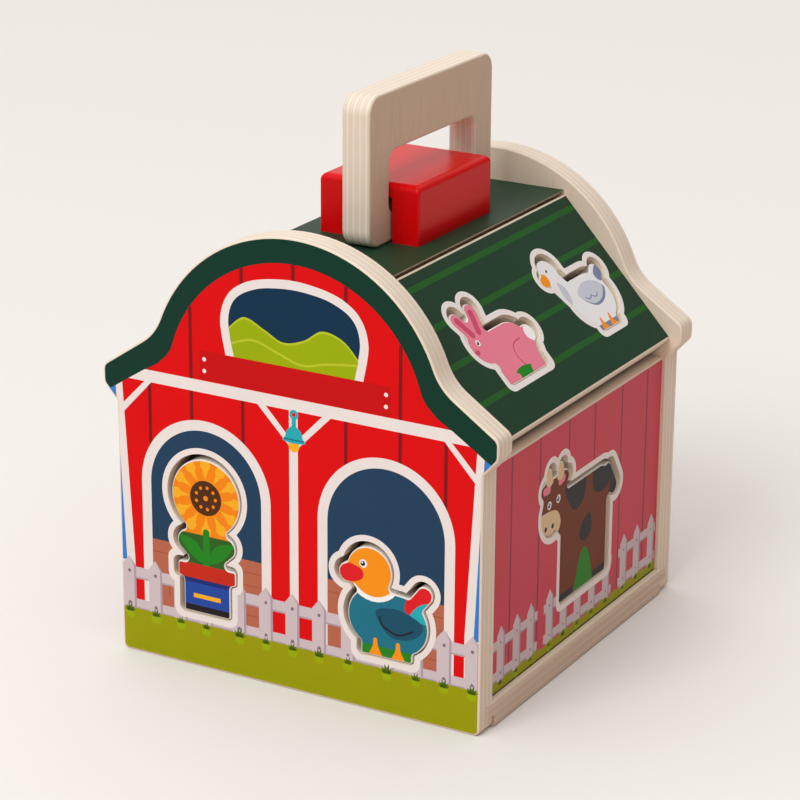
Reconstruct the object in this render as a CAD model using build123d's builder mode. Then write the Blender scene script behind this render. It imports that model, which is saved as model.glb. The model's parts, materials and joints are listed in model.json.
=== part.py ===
from build123d import *
import os
from math import atan2, cos, degrees, hypot, radians, sin, tan

# Wooden shape sorter barn. X runs along the gable, Y towards the back along the ridge, Z up.
# The origin is the middle of the footprint on the table. All sizes are in millimetres.

# Boards
ply = 12.0                # every panel is the same plywood
body_width = 180.0        # gable, at its straight sides
body_depth = 188.0        # outer face to outer face of the gables
edge_ease = 1.0           # rounding of the boards' long edges
corner_ease = 3.0         # rounding of the gables' two lower corners

# Gable outline
side_height = 116.5       # straight side, from the table to the ear
ear_reach = 6.9           # how far the ear stands out past the side
ear_bottom = 124.3        # height of the ear's lower corner
ear_top = 132.6           # height of the ear's upper corner
ear_radius = 4.5          # rounding of the ear
brow_angle = 34.0         # slope of the brow from the ear to the arch
brow_end = 156.0          # height where the brow's line ends, inside the arch
brow_blend = 25.0         # rounding where the brow meets the arch
arch_radius = 72.2
arch_centre = 131.0       # height of the arch's centre

# Walls and floor
wall_inset = 2.3          # the walls stand this far inside the gables' sides
wall_top = 116.3
floor_thick = 12.0
floor_overhang = 1.0      # the floor board's edges stand out past the gables' sides
floor_ease = 1.5
tongue_thick = 6.0        # tongue on each end of the floor board, let into a gable
tongue_long = 6.0

# Roof and ridge
ridge_top = 187.6
roof_angle = 47.25        # slope of the roof panels
roof_length = 81.6        # along the slope
roof_top_x = 36.0         # upper outer edge of a roof panel
roof_drop = 1.7           # that edge's depth below the ridge board's top
roof_gap = 0.3            # between a panel's ends and the gables
roof_ease = 1.2           # rounding of a panel's long edges
hinge_gap = 1.3           # between the panels' upper edges and the ridge board
hinge_inset = 14.0        # hinge axis from the panel's upper edge
peg_from_eave = 9.6       # rest peg, along the slope from the eave
peg_reach = 8.0           # how far the rest pegs stand out of the gables

# Round fittings
pin_diameter = 5.0
pin_depth = 8.0           # depth in the gable
pin_reach = 11.0          # how far the pins stand out of the gables
running_gap = 0.05        # radial, around a pin that a roof panel turns on
end_gap = 0.5             # past the end of a pin or dowel
dowel_diameter = 6.0
dowel_depth = 8.0         # in each of the two boards it joins
dowel_chamfer = 0.6
glue_gap = 0.05           # radial, around a glued dowel or a screw
ridge_dowel_x = 12.0
wall_dowel_low = 34.0
wall_dowel_high = 98.0
screw_diameter = 3.5
screw_head = 7.0
screw_head_deep = 2.4
screw_bite = 14.0         # length in the block
screw_tip = 3.0
screw_x = 17.0
screw_y = 20.0
recess_long = 4.0         # cross recess in the screw heads
recess_wide = 0.9
recess_deep = 1.4

# Handle and its block
block_wide = 49.0
block_long = 65.0
block_high = 26.0
block_ease = 3.0          # rounding of its upper edges
block_corner = 1.2        # rounding of its upright edges
channel_wide = 23.0       # channel under the block, which the ring's lower bar passes through
channel_high = 20.0
handle_thick = 13.6
handle_front = 50.0       # from the middle of the ridge
handle_back = 58.7
handle_high = 65.8        # the whole ring
handle_x = 3.7            # the loose ring stands off centre, as photographed
handle_radius = 8.0
handle_ease = 1.2
grip_high = 26.2          # grip bar
bar_high = 12.0           # lower bar, inside the channel
front_leg = 17.0
back_leg = 15.6
window_radius = 5.5
seat_gap = 0.3            # between pieces that rest on each other but come apart

# Shape pieces
piece_thick = 12.0
piece_recess = 1.0        # the pieces' faces lie this far below the board's face
hole_gap = 1.6            # between a piece and its hole, all round, when it is centred
piece_ease = 0.6          # rounding of the edges of both faces
blend = 2.0               # rounding of the inner corners of the pieces' outlines
nose = 1.5                # rounding of their outer corners

# Middles of the pieces' holes
sunflower_x = 45.5        # to the left of the gable's middle
sunflower_z = 62.5
duck_x = 44.2
duck_z = 51.0
rabbit_y = 32.5           # in front of the barn's middle
goose_y = 45.0
fruit_y = 34.0            # apple behind the middle, pear in front of it
roof_hole_along = 41.5    # down the slope from the panel's upper edge
cow_y = 2.0
wall_hole_z = 65.4

# Worked out from the sizes above
half_width = body_width / 2
half_depth = body_depth / 2
inner_depth = half_depth - ply
wall_outer = half_width - wall_inset
wall_middle = wall_outer - ply / 2
floor_half = half_width + floor_overhang
ear_x = half_width + ear_reach
down_x = cos(radians(roof_angle))
down_z = -sin(radians(roof_angle))
out_x = -down_z
out_z = down_x
roof_half_depth = inner_depth - roof_gap
roof_top_z = ridge_top - roof_drop
ridge_bottom = ridge_top - ply
handle_bottom = ridge_top + seat_gap
handle_top = handle_bottom + handle_high


def slope_point(along, depth, side=1):
    """A point in a roof panel's section: along the slope from its upper edge, depth below its face."""
    x = roof_top_x + along * down_x - depth * out_x
    z = roof_top_z + along * down_z - depth * out_z
    return (side * x, z)


def wall_plane(side, y, z):
    """The outer face of a wall, seen from outside: x runs to the right."""
    return Plane(origin=(side * wall_outer, y, z), x_dir=(0, side, 0), z_dir=(side, 0, 0))


def roof_plane(side, y, along):
    """The outer face of a roof panel, seen from outside: y runs up the slope."""
    x, z = slope_point(along, 0, side)
    return Plane(origin=(x, y, z), x_dir=(0, side, 0), z_dir=(side * out_x, 0, out_z))


def gable_plane(x, z):
    """The outer face of the front gable."""
    return Plane(origin=(x, -half_depth, z), x_dir=(1, 0, 0), z_dir=(0, -1, 0))


def disc(centre, radius):
    """A round area in the sketch that is open."""
    with Locations(centre):
        Circle(radius)


def capsule(start, end, radius):
    """A round-ended bar from start to end in the sketch that is open."""
    middle = ((start[0] + end[0]) / 2, (start[1] + end[1]) / 2)
    across = hypot(end[0] - start[0], end[1] - start[1])
    turn = degrees(atan2(end[1] - start[1], end[0] - start[0]))
    with Locations(middle):
        SlotCenterToCenter(across, 2 * radius, rotation=turn)


def bar(low, high):
    """An upright rectangle from its lower left corner to its upper right corner."""
    with Locations(((low[0] + high[0]) / 2, (low[1] + high[1]) / 2)):
        Rectangle(high[0] - low[0], high[1] - low[1])


# Outlines of the shape pieces, each about its own middle
def sunflower():
    disc((0, 18.5), 17.5)
    capsule((0, 4), (0, -14), 5)
    capsule((-10, -3), (0, -12), 5)
    capsule((10, -3), (0, -12), 5)
    bar((-15, -20), (15, -13))
    bar((-12, -36), (12, -18))


def duck():
    capsule((-5, -7), (7, -8), 13.5)
    disc((-8, 13.5), 11)
    capsule((-15, 11), (-18.5, 11), 4.5)
    capsule((10, -3), (18.5, 8), 4)
    bar((-12, -24.5), (13, -14))


def rabbit():
    capsule((-2, -7), (8, -7), 12.5)
    disc((-14, 1), 9.5)
    capsule((-16, 5), (-20, 15), 4)
    capsule((-11, 5), (-7, 16), 4)
    disc((21, -4), 4.5)
    bar((-15, -20), (18, -12))


def goose():
    capsule((-2, -5), (9, -5), 12)
    capsule((-8, -3), (-14, 13), 6)
    disc((-14, 14), 7)
    capsule((-18, 12), (-21.5, 11.5), 3.2)
    capsule((12, -2), (20.5, 5), 4)
    bar((-6, -20.5), (12, -12))


def cow():
    bar((-18, -33.5), (28, 6))
    capsule((-12, 8), (20, 8), 11)
    capsule((-27, 12), (-25, 18), 10)
    capsule((-34, 24), (-14, 25), 3.5)
    capsule((-29, 27), (-29.5, 30.5), 3)
    capsule((-19, 27), (-18.5, 30.5), 3)
    capsule((28, 14), (34, 5), 4)


def apple():
    disc((-7, -3), 15)
    disc((7, -3), 15)
    bar((-11, -21), (11, -8))
    capsule((0, 9), (2, 17), 3)
    capsule((5, 16), (12, 18), 3.5)


def pear():
    disc((0, -5), 17)
    capsule((0, 0), (0, 9), 9.5)
    capsule((0, 14), (2, 20), 2.8)
    bar((-9, -22), (9, -10))


def tree():
    disc((-13, 4), 13)
    disc((13, 4), 13)
    disc((0, 15), 15)
    bar((-6.5, -31), (6.5, 0))
    bar((-11, -31), (11, -25))


# Where each piece sits: its board, its outline and the plane of its hole
PLACES = {
    "sunflower_piece": ("front_gable", sunflower, gable_plane(-sunflower_x, sunflower_z)),
    "duck_piece": ("front_gable", duck, gable_plane(duck_x, duck_z)),
    "rabbit_piece": ("right_roof", rabbit, roof_plane(1, -rabbit_y, roof_hole_along)),
    "goose_piece": ("right_roof", goose, roof_plane(1, goose_y, roof_hole_along)),
    "cow_piece": ("right_wall", cow, wall_plane(1, cow_y, wall_hole_z)),
    "apple_piece": ("left_roof", apple, roof_plane(-1, fruit_y, roof_hole_along)),
    "pear_piece": ("left_roof", pear, roof_plane(-1, -fruit_y, roof_hole_along)),
    "tree_piece": ("left_wall", tree, wall_plane(-1, 0, wall_hole_z)),
}


def piece_outline(outline, plane, grow, drop):
    """A piece's outline with its corners rounded, made larger by grow and moved down by drop."""
    with BuildSketch(plane) as face:
        with Locations((0, -drop)):
            outline()
        offset(amount=blend, kind=Kind.ARC)
        offset(amount=-blend - nose, kind=Kind.ARC)
        offset(amount=nose + grow, kind=Kind.ARC)
    return face.sketch


def cut_piece_holes(board):
    """Cut this board's holes right through it, in the part that is open."""
    for home, outline, plane in PLACES.values():
        if home == board:
            extrude(piece_outline(outline, plane, hole_gap, 0), amount=-2 * ply, mode=Mode.SUBTRACT)


def rods(points, diameter, outward, inward, mode=Mode.ADD):
    """Round bars along Y through both gables' inner faces at these points, in the part that is open."""
    for end in (-1, 1):
        for x, z in points:
            middle = end * (inner_depth + (outward - inward) / 2)
            with Locations(Location((x, middle, z), (90, 0, 0))):
                Cylinder(diameter / 2, outward + inward, mode=mode)


def drill(points, diameter, outward, inward, gap=glue_gap):
    """The holes for such bars."""
    rods(points, diameter + 2 * gap, outward + end_gap, inward + end_gap, Mode.SUBTRACT)


def screws(gap):
    """Four countersunk screws from below the ridge board into the block, wider by gap."""
    tip = ridge_top + screw_bite
    with BuildPart() as screw:
        with BuildSketch(Plane.XZ):
            with BuildLine():
                Polyline(
                    (0, ridge_bottom),
                    (screw_head / 2 + gap, ridge_bottom),
                    (screw_diameter / 2 + gap, ridge_bottom + screw_head_deep),
                    (screw_diameter / 2 + gap, tip - screw_tip),
                    (0, tip + gap),
                    close=True,
                )
            make_face()
        revolve(axis=Axis.Z)
    with BuildPart() as group:
        with Locations(*[(x, y, 0) for x in (-screw_x, screw_x) for y in (-screw_y, screw_y)]):
            add(screw.part)
    return group.part


def finish(part, name):
    part.part.label = name
    export_step(part.part, f"parts/{name}.step")


pin_right = [slope_point(hinge_inset, ply / 2)]
pin_left = [slope_point(hinge_inset, ply / 2, -1)]
peg_along = roof_length - peg_from_eave
peg_below = ply + seat_gap + dowel_diameter / 2
peg_points = [slope_point(peg_along, peg_below), slope_point(peg_along, peg_below, -1)]
ridge_dowels_at = [(x, ridge_top - ply / 2) for x in (-ridge_dowel_x, ridge_dowel_x)]
wall_dowels_right = [(wall_middle, z) for z in (wall_dowel_low, wall_dowel_high)]
wall_dowels_left = [(-x, z) for x, z in wall_dowels_right]

os.makedirs("parts", exist_ok=True)


# Gables
def gable_outline():
    brow_x = ear_x - (brow_end - ear_top) / tan(radians(brow_angle))
    right = [(half_width, 0), (half_width, side_height), (ear_x, ear_bottom), (ear_x, ear_top), (brow_x, brow_end)]
    left = [(-x, z) for x, z in reversed(right)]
    Polygon(*right, *left, align=None)
    disc((0, arch_centre), arch_radius)


for name, end in (("front_gable", -1), ("back_gable", 1)):
    with BuildPart() as gable:
        with BuildSketch(Plane.XZ.offset(-end * half_depth)) as outline:
            gable_outline()
            ears = outline.vertices().filter_by(lambda v: abs(v.X) > (half_width + ear_x) / 2)
            fillet(ears, ear_radius)
            valleys = outline.vertices().filter_by(lambda v: abs(v.X) < half_width and v.Y > ear_top)
            fillet(valleys, brow_blend)
            feet = outline.vertices().group_by(Axis.Y)[0]
            fillet(feet, corner_ease)
        extrude(amount=end * ply)
        for plate_face in (gable.faces().sort_by(Axis.Y)[0], gable.faces().sort_by(Axis.Y)[-1]):
            fillet(plate_face.outer_wire().edges(), edge_ease)
        with BuildSketch(Plane.YZ):
            with Locations((end * (inner_depth + tongue_long / 2), floor_thick - tongue_thick / 2)):
                Rectangle(tongue_long, tongue_thick)
        extrude(amount=floor_half, both=True, mode=Mode.SUBTRACT)
        drill(pin_right + pin_left, pin_diameter, pin_depth, pin_reach)
        drill(peg_points, dowel_diameter, dowel_depth, peg_reach)
        drill(ridge_dowels_at + wall_dowels_right + wall_dowels_left, dowel_diameter, dowel_depth, dowel_depth)
        cut_piece_holes(name)
    finish(gable, name)


# Walls, standing on the floor board and glued between the gables
def wall_section(side):
    """A wall's section: its two upper corners are eased."""
    with BuildSketch(Plane.XZ) as section:
        with Locations((side * wall_middle, (floor_thick + wall_top) / 2)):
            Rectangle(ply, wall_top - floor_thick)
        fillet(section.vertices().group_by(Axis.Y)[-1], edge_ease)
    return section.sketch


for name, side, dowels_at in (("right_wall", 1, wall_dowels_right), ("left_wall", -1, wall_dowels_left)):
    with BuildPart() as wall:
        extrude(wall_section(side), amount=inner_depth, both=True)
        drill(dowels_at, dowel_diameter, dowel_depth, dowel_depth)
        cut_piece_holes(name)
    finish(wall, name)

# Floor board, with a tongue along the upper half of each end
with BuildPart() as floor_board:
    with BuildSketch(Plane.XZ) as section:
        with Locations((0, floor_thick / 2)):
            Rectangle(2 * floor_half, floor_thick)
        fillet(section.vertices(), floor_ease)
    extrude(amount=inner_depth + tongue_long, both=True)
    with BuildSketch(Plane.YZ):
        for end in (-1, 1):
            with Locations((end * (inner_depth + tongue_long / 2), (floor_thick - tongue_thick) / 2)):
                Rectangle(tongue_long, floor_thick - tongue_thick)
    extrude(amount=floor_half, both=True, mode=Mode.SUBTRACT)
finish(floor_board, "floor_board")

# Roof panels, and the ridge board bevelled to stand off their upper edges
for name, side, pin_at in (("right_roof", 1, pin_right), ("left_roof", -1, pin_left)):
    corners = ((0, 0), (roof_length, 0), (roof_length, ply), (0, ply))
    with BuildPart() as roof:
        with BuildSketch(Plane.XZ) as section:
            Polygon(*[slope_point(along, depth, side) for along, depth in corners], align=None)
            fillet(section.vertices(), roof_ease)
        extrude(amount=roof_half_depth, both=True)
        drill(pin_at, pin_diameter, pin_depth, pin_reach, running_gap)
        cut_piece_holes(name)
    finish(roof, name)

bevel_x, bevel_z = slope_point(-hinge_gap, 0)
ridge_half_top = bevel_x + (ridge_top - bevel_z) * down_x / -down_z
ridge_half_bottom = ridge_half_top - ply * out_x / out_z

with BuildPart() as ridge_board:
    with BuildSketch(Plane.XZ):
        with BuildLine():
            Polyline(
                (-ridge_half_top, ridge_top),
                (ridge_half_top, ridge_top),
                (ridge_half_bottom, ridge_bottom),
                (-ridge_half_bottom, ridge_bottom),
                close=True,
            )
        make_face()
    extrude(amount=inner_depth, both=True)
    drill(ridge_dowels_at, dowel_diameter, dowel_depth, dowel_depth)
    add(screws(glue_gap), mode=Mode.SUBTRACT)
finish(ridge_board, "ridge_board")

# Handle block, with the channel for the ring's lower bar cut along its underside
with BuildPart() as handle_block:
    with Locations((0, 0, ridge_top + block_high / 2)):
        Box(block_wide, block_long, block_high)
    fillet(handle_block.edges().filter_by(Axis.Z), block_corner)
    fillet(handle_block.faces().sort_by(Axis.Z)[-1].edges(), block_ease)
    with Locations((0, 0, ridge_top + channel_high / 2)):
        Box(channel_wide, block_long, channel_high, mode=Mode.SUBTRACT)
    add(screws(glue_gap), mode=Mode.SUBTRACT)
finish(handle_block, "handle_block")

# Carry handle: one plywood ring that runs through the channel
with BuildPart() as carry_handle:
    with BuildSketch(Plane.YZ.offset(handle_x)):
        with BuildSketch(mode=Mode.PRIVATE) as ring:
            bar((-handle_front, handle_bottom), (handle_back, handle_top))
            fillet(ring.vertices(), handle_radius)
        with BuildSketch(mode=Mode.PRIVATE) as window:
            bar((front_leg - handle_front, handle_bottom + bar_high), (handle_back - back_leg, handle_top - grip_high))
            fillet(window.vertices(), window_radius)
        add(ring.sketch)
        add(window.sketch, mode=Mode.SUBTRACT)
    extrude(amount=handle_thick / 2, both=True)
    fillet(carry_handle.faces().sort_by(Axis.X)[0].edges(), handle_ease)
    fillet(carry_handle.faces().sort_by(Axis.X)[-1].edges(), handle_ease)
finish(carry_handle, "carry_handle")

with BuildPart() as block_screws:
    add(screws(0))
    for x in (-screw_x, screw_x):
        for y in (-screw_y, screw_y):
            with Locations((x, y, ridge_bottom + recess_deep / 2)):
                Box(recess_long, recess_wide, recess_deep, mode=Mode.SUBTRACT)
                Box(recess_wide, recess_long, recess_deep, mode=Mode.SUBTRACT)
finish(block_screws, "block_screws")

# Pins, pegs and dowels
RODS = {
    "right_roof_pins": (pin_right, pin_diameter, pin_depth, pin_reach),
    "left_roof_pins": (pin_left, pin_diameter, pin_depth, pin_reach),
    "roof_rest_pegs": (peg_points, dowel_diameter, dowel_depth, peg_reach),
    "ridge_dowels": (ridge_dowels_at, dowel_diameter, dowel_depth, dowel_depth),
    "wall_dowels": (wall_dowels_right + wall_dowels_left, dowel_diameter, dowel_depth, dowel_depth),
}
for name, sizes in RODS.items():
    with BuildPart() as fittings:
        rods(*sizes)
        chamfer(fittings.edges().filter_by(GeomType.CIRCLE), dowel_chamfer)
    finish(fittings, name)

# Shape pieces, each resting on the lower edge of its hole
for name, (home, outline, plane) in PLACES.items():
    with BuildPart() as piece:
        extrude(
            piece_outline(outline, plane.offset(-piece_recess), 0, hole_gap - seat_gap),
            amount=-piece_thick,
        )
        flat_faces = piece.faces().filter_by(lambda f: abs(f.normal_at().dot(plane.z_dir)) > 0.99)
        for flat_face in flat_faces:
            fillet(flat_face.edges(), piece_ease)
    finish(piece, name)
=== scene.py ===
# %% [markdown]
# A wooden shape sorter barn. Its boards, roof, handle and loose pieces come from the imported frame
# and keep their meshes. What is added here is what a printer and a painter add in the factory:
# the printed sheets on the boards and on the pieces, the paint, and the look of bare plywood.

import json
from math import atan2, cos, pi, radians, sin, sqrt, tau

import bmesh
import bpy
from mathutils import Matrix, Vector
from mathutils.geometry import delaunay_2d_cdt


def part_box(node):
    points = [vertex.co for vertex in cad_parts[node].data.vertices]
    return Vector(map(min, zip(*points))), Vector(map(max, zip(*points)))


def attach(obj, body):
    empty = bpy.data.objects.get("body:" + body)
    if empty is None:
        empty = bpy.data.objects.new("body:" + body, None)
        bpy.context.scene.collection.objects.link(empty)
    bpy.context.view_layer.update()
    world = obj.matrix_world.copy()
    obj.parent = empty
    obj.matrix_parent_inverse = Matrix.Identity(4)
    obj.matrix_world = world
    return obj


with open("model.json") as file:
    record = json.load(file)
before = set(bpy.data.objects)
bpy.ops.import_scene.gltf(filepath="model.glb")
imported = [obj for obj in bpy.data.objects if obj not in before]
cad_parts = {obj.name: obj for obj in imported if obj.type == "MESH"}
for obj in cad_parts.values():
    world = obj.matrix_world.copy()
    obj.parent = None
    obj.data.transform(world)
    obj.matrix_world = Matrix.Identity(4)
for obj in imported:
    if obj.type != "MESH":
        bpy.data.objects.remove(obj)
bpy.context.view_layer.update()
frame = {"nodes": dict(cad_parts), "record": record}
MM = 0.001

# %% [markdown]
# Colours are written as a designer would, in sRGB hex. Blender works in linear light, so one
# function turns one into the other. The others add a shader node with its settings and links, one
# of the few that every material here needs, or an object, so that each use takes a line or two.


# %% Colour and node helpers
def linear(code):
    channels = [int(code[i : i + 2], 16) / 255 for i in (0, 2, 4)]
    return [c / 12.92 if c <= 0.04045 else ((c + 0.055) / 1.055) ** 2.4 for c in channels] + [1.0]


def node(tree, kind, links=None, **settings):
    """Adds a node. Settings are properties or input values, links are input name to output socket."""
    made = tree.nodes.new(kind)
    for key, value in settings.items():
        if hasattr(made, key):
            setattr(made, key, value)
        else:
            made.inputs[key.replace("_", " ")].default_value = value
    for key, socket in (links or {}).items():
        tree.links.new(socket, made.inputs[key])
    return made


def blank_material(name):
    """A material with only a Principled shader, its tree and that shader."""
    material = bpy.data.materials.new(name)
    material.use_nodes = True
    tree = material.node_tree
    tree.nodes.clear()
    shader = tree.nodes.new("ShaderNodeBsdfPrincipled")
    output = tree.nodes.new("ShaderNodeOutputMaterial")
    tree.links.new(shader.outputs["BSDF"], output.inputs["Surface"])
    return material, tree, shader


def noise(tree, vector, scale, detail, **settings):
    """The factor socket of a noise texture along that vector."""
    made = node(tree, "ShaderNodeTexNoise", {"Vector": vector}, Scale=scale, Detail=detail, **settings)
    return made.outputs["Fac"]


def mixed(tree, factor, first, second):
    """The colour socket of a mix of two colours or colour sockets."""
    made = node(tree, "ShaderNodeMix", {"Factor": factor}, data_type="RGBA")
    for index, colour in ((6, first), (7, second)):
        if isinstance(colour, bpy.types.NodeSocket):
            tree.links.new(colour, made.inputs[index])
        else:
            made.inputs[index].default_value = colour
    return made.outputs[2]


def coat(tree, shader, colour, roughness, shine=0.5):
    """Links a colour socket to a shader and sets how rough and how shiny it is."""
    tree.links.new(colour, shader.inputs["Base Color"])
    shader.inputs["Roughness"].default_value = roughness
    shader.inputs["Specular IOR Level"].default_value = shine


def relief(tree, shader, height, strength, depth):
    """Lets a height socket stand out of the surface, by a depth in mm."""
    bump = node(tree, "ShaderNodeBump", {"Height": height}, Strength=strength, Distance=depth * MM)
    tree.links.new(bump.outputs[0], shader.inputs["Normal"])


def add(name, data):
    """Puts mesh, light or camera data into the scene as an object of that name."""
    made = bpy.data.objects.new(name, data)
    bpy.context.collection.objects.link(made)
    return made


print("mid grey in linear light:", [round(c, 3) for c in linear("808080")])

# %% [markdown]
# Birch plywood shows two things: a pale rotary-cut veneer on its faces, and on its edges the stack
# of plies, where long grain and end grain take turns and a thin dark glue line lies between them.
# One material can show both, if it knows which way the board lies: the normal of the surface says
# whether we look at a face or an edge, and the distance through the board says which ply it is.


# %% Birch plywood
BOARD_THICK, BOARD_PLIES = 12.0, 7
FIBRE_LONG, FIBRE_WIDE = 25 * MM, 0.7 * MM
CLOUD_SIZE = 35 * MM
WOBBLE_SIZE, WOBBLE_DEPTH = 14 * MM, 0.16
FACE_LIGHT, FACE_DARK, EDGE_CLOUD = "E6D5C2", "D9C4AC", "DECFBC"
PLY_TONES = ((0.0, "E9DBC9"), (0.41, "E5D6C3"), (0.50, "AD9177"), (0.59, "D3BFA9"), (1.0, "DCCAB6"))
# The floor board's edges, low by the floor, are darkened with painted shade; the other boards' are not
NO_EDGE_SHADE, FLOOR_EDGE_SHADE = (1, 1, 1), (0.85, 0.78, 0.74)


def birch_plywood(name, through, middle, grain, thick=BOARD_THICK, plies=BOARD_PLIES, light=FACE_LIGHT,
                  edge_shade=NO_EDGE_SHADE):
    """through is the unit vector through the board, middle a point at half its thickness, and
    grain the unit vector that the face veneer's grain follows. The last argument darkens the board's
    edges with painted shade."""
    material, tree, shader = blank_material(name)
    coords = node(tree, "ShaderNodeTexCoord")
    place = coords.outputs["Object"]
    through, grain = Vector(through), Vector(grain)

    def distance(axis, scale, offset=0.0):
        along = node(tree, "ShaderNodeVectorMath", {0: place}, operation="DOT_PRODUCT")
        along.inputs[1].default_value = axis
        scaled = node(tree, "ShaderNodeMath", {0: along.outputs["Value"]}, operation="MULTIPLY_ADD")
        scaled.inputs[1].default_value = scale
        scaled.inputs[2].default_value = offset
        return scaled.outputs[0]

    # An edge colour, darkened by the painted shade asked for
    def edge_shaded(code):
        return [c * s for c, s in zip(linear(code), edge_shade)] + [1.0]

    # Fibres: noise drawn out along the grain
    stretch = node(tree, "ShaderNodeCombineXYZ", {
        "X": distance(grain, 1 / FIBRE_LONG),
        "Y": distance(through.cross(grain), 1 / FIBRE_WIDE),
        "Z": distance(through, 1 / FIBRE_WIDE),
    })
    fibres = noise(tree, stretch.outputs[0], 1.0, 3.0, Roughness=0.6)
    flat = mixed(tree, fibres, linear(light), linear(FACE_DARK))

    # Plies: one whole number step for each ply through the board
    steps = plies / (thick * MM)
    depth = distance(through, steps, plies / 2 - through.dot(Vector(middle)) * steps)
    wobble = noise(tree, place, 1 / WOBBLE_SIZE, 1.0)
    bent = node(tree, "ShaderNodeMath", {0: wobble, 2: depth}, operation="MULTIPLY_ADD")
    bent.inputs[1].default_value = WOBBLE_DEPTH
    turn = node(tree, "ShaderNodeMath", {0: bent.outputs[0]}, operation="PINGPONG")
    turn.inputs[1].default_value = 1.0
    ramp = node(tree, "ShaderNodeValToRGB", {"Fac": turn.outputs[0]})
    for index, (where, code) in enumerate(PLY_TONES):
        stop = ramp.color_ramp.elements[index] if index < 2 else ramp.color_ramp.elements.new(where)
        stop.position = where
        stop.color = edge_shaded(code)
    clouds = noise(tree, place, 1 / CLOUD_SIZE, 2.0)
    edge = mixed(tree, clouds, ramp.outputs["Color"], edge_shaded(EDGE_CLOUD))

    # The normal tells a face from an edge
    facing = node(tree, "ShaderNodeVectorMath", {0: coords.outputs["Normal"]}, operation="DOT_PRODUCT")
    facing.inputs[1].default_value = through
    size = node(tree, "ShaderNodeMath", {0: facing.outputs["Value"]}, operation="ABSOLUTE")
    is_face = node(tree, "ShaderNodeMapRange", {"Value": size.outputs[0]}, From_Min=0.75, From_Max=0.95)
    coat(tree, shader, mixed(tree, is_face.outputs[0], edge, flat), roughness=0.5, shine=0.4)
    relief(tree, shader, fibres, strength=0.25, depth=0.05)
    return material


print("plywood helper ready")

# %% [markdown]
# The prints are lacquer inks laid on a white ground: even, nearly matt, with the faint orange
# peel of a roller coat. They differ only in colour, so one function makes them all. The ink's
# colour is mottled by a few percent, because a perfectly even one reads as plastic.

# %% Printed inks
INKS = {
    "barn red": "D60409", "plank line red": "7E1216", "beam red": "C00A0D", "trim white": "E3DBD6",
    "door navy": "203E58", "attic navy": "0C3049", "clay": "B0644B", "clay line": "A25338",
    "meadow": "959604", "hill lime": "94A904", "hill shade": "B4BE28", "picket grey": "C8B9BC",
    "picket shade": "A797A0", "tuft olive": "4E6A14", "nail grey": "7E6C76", "gable green": "0C3629",
    # The side walls' red and plank line are the front's inks muted with painted sheen
    "roof green": "1E3B28", "stripe green": "1E581E", "sky blue": "2F7CC8", "wall red": "C64856",
    # The dark brown at the side walls' foot is painted contact shadow
    "wall line": "863C48", "seam brown": "3A2010", "sun yellow": "EFAA22", "sun orange": "EC8214",
    "seed brown": "4E2C14", "leaf green": "23801F", "dark leaf": "2E5E22", "pot blue": "23479A",
    "pot shade": "1E2C6E", "pot red": "BE2A18", "ink black": "231C22", "duck teal": "1F6E84",
    "duck dark": "1A4E64", "duck orange": "F08F16", "duck red": "D81E24", "feather aqua": "24A6B0",
    "rabbit pink": "E27C90", "rabbit dark": "C84A6A", "goose white": "E2E0E0", "goose grey": "76809C",
    "goose shade": "C0C2CC", "cow brown": "70361F", "cow dark": "2B2E30", "cow cream": "D8BC92",
    "apple red": "C2221C", "apple light": "DA5442", "pear green": "9AB434", "pear light": "BECE66",
    "bark brown": "6A3E20", "eye white": "EFECEA",
}
INK_MATERIALS = {}
MOTTLE_SIZE, PEEL_SIZE = 18 * MM, 1.1 * MM
MOTTLE_DARK, MOTTLE_LIGHT = 0.96, 1.05


def ink(name):
    """The lacquer print material of that colour, made when it is first asked for."""
    if name not in INK_MATERIALS:
        material, tree, shader = blank_material("lacquer print, " + name)
        place = node(tree, "ShaderNodeTexCoord").outputs["Object"]
        pure = linear(INKS[name])[:3]
        tones = [[min(1.0, c * part) for c in pure] + [1.0] for part in (MOTTLE_DARK, MOTTLE_LIGHT)]
        mottle, peel = noise(tree, place, 1 / MOTTLE_SIZE, 3.0), noise(tree, place, 1 / PEEL_SIZE, 2.0)
        coat(tree, shader, mixed(tree, mottle, *tones), roughness=0.42, shine=0.10)
        relief(tree, shader, peel, strength=0.12, depth=0.03)
        INK_MATERIALS[name] = material
    return INK_MATERIALS[name]


print(len(INKS), "inks")


# %% [markdown]
# The prints are drawn flat, in millimetres, with the few shapes that a layout program has: bars,
# discs, round-ended strokes, and smooth curves through a handful of points. Each of the first three
# can be grown, because the white line round a hole is the hole's own outline, made larger.


# %% Flat shapes
ARC_STEP = 1.3


def turned(centre, radius, first, last, step=ARC_STEP):
    """Points on an arc, in degrees, about step millimetres apart."""
    count = max(4, int(abs(radians(last - first)) * radius / step))
    angles = [radians(first + (last - first) * i / count) for i in range(count + 1)]
    return [(centre[0] + radius * cos(a), centre[1] + radius * sin(a)) for a in angles]


def disc(centre, radius):
    return turned(centre, radius, 0, 360, min(ARC_STEP, radius / 3))[:-1]


def capsule(start, end, radius):
    heading = 180 / pi * atan2(end[1] - start[1], end[0] - start[0])
    step = min(ARC_STEP, radius / 3)
    near = turned(start, radius, heading + 90, heading + 270, step)
    far = turned(end, radius, heading - 90, heading + 90, step)
    return near + far


def bar(low, high, grow=0.0):
    if not grow:
        return [low, (high[0], low[1]), high, (low[0], high[1])]
    corners = (high, (low[0], high[1]), low, (high[0], low[1]))
    return [p for k, corner in enumerate(corners) for p in turned(corner, grow, 90 * k, 90 * k + 90)]


def stroke(width, *points):
    return [capsule(a, b, width / 2) for a, b in zip(points, points[1:])]


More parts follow.
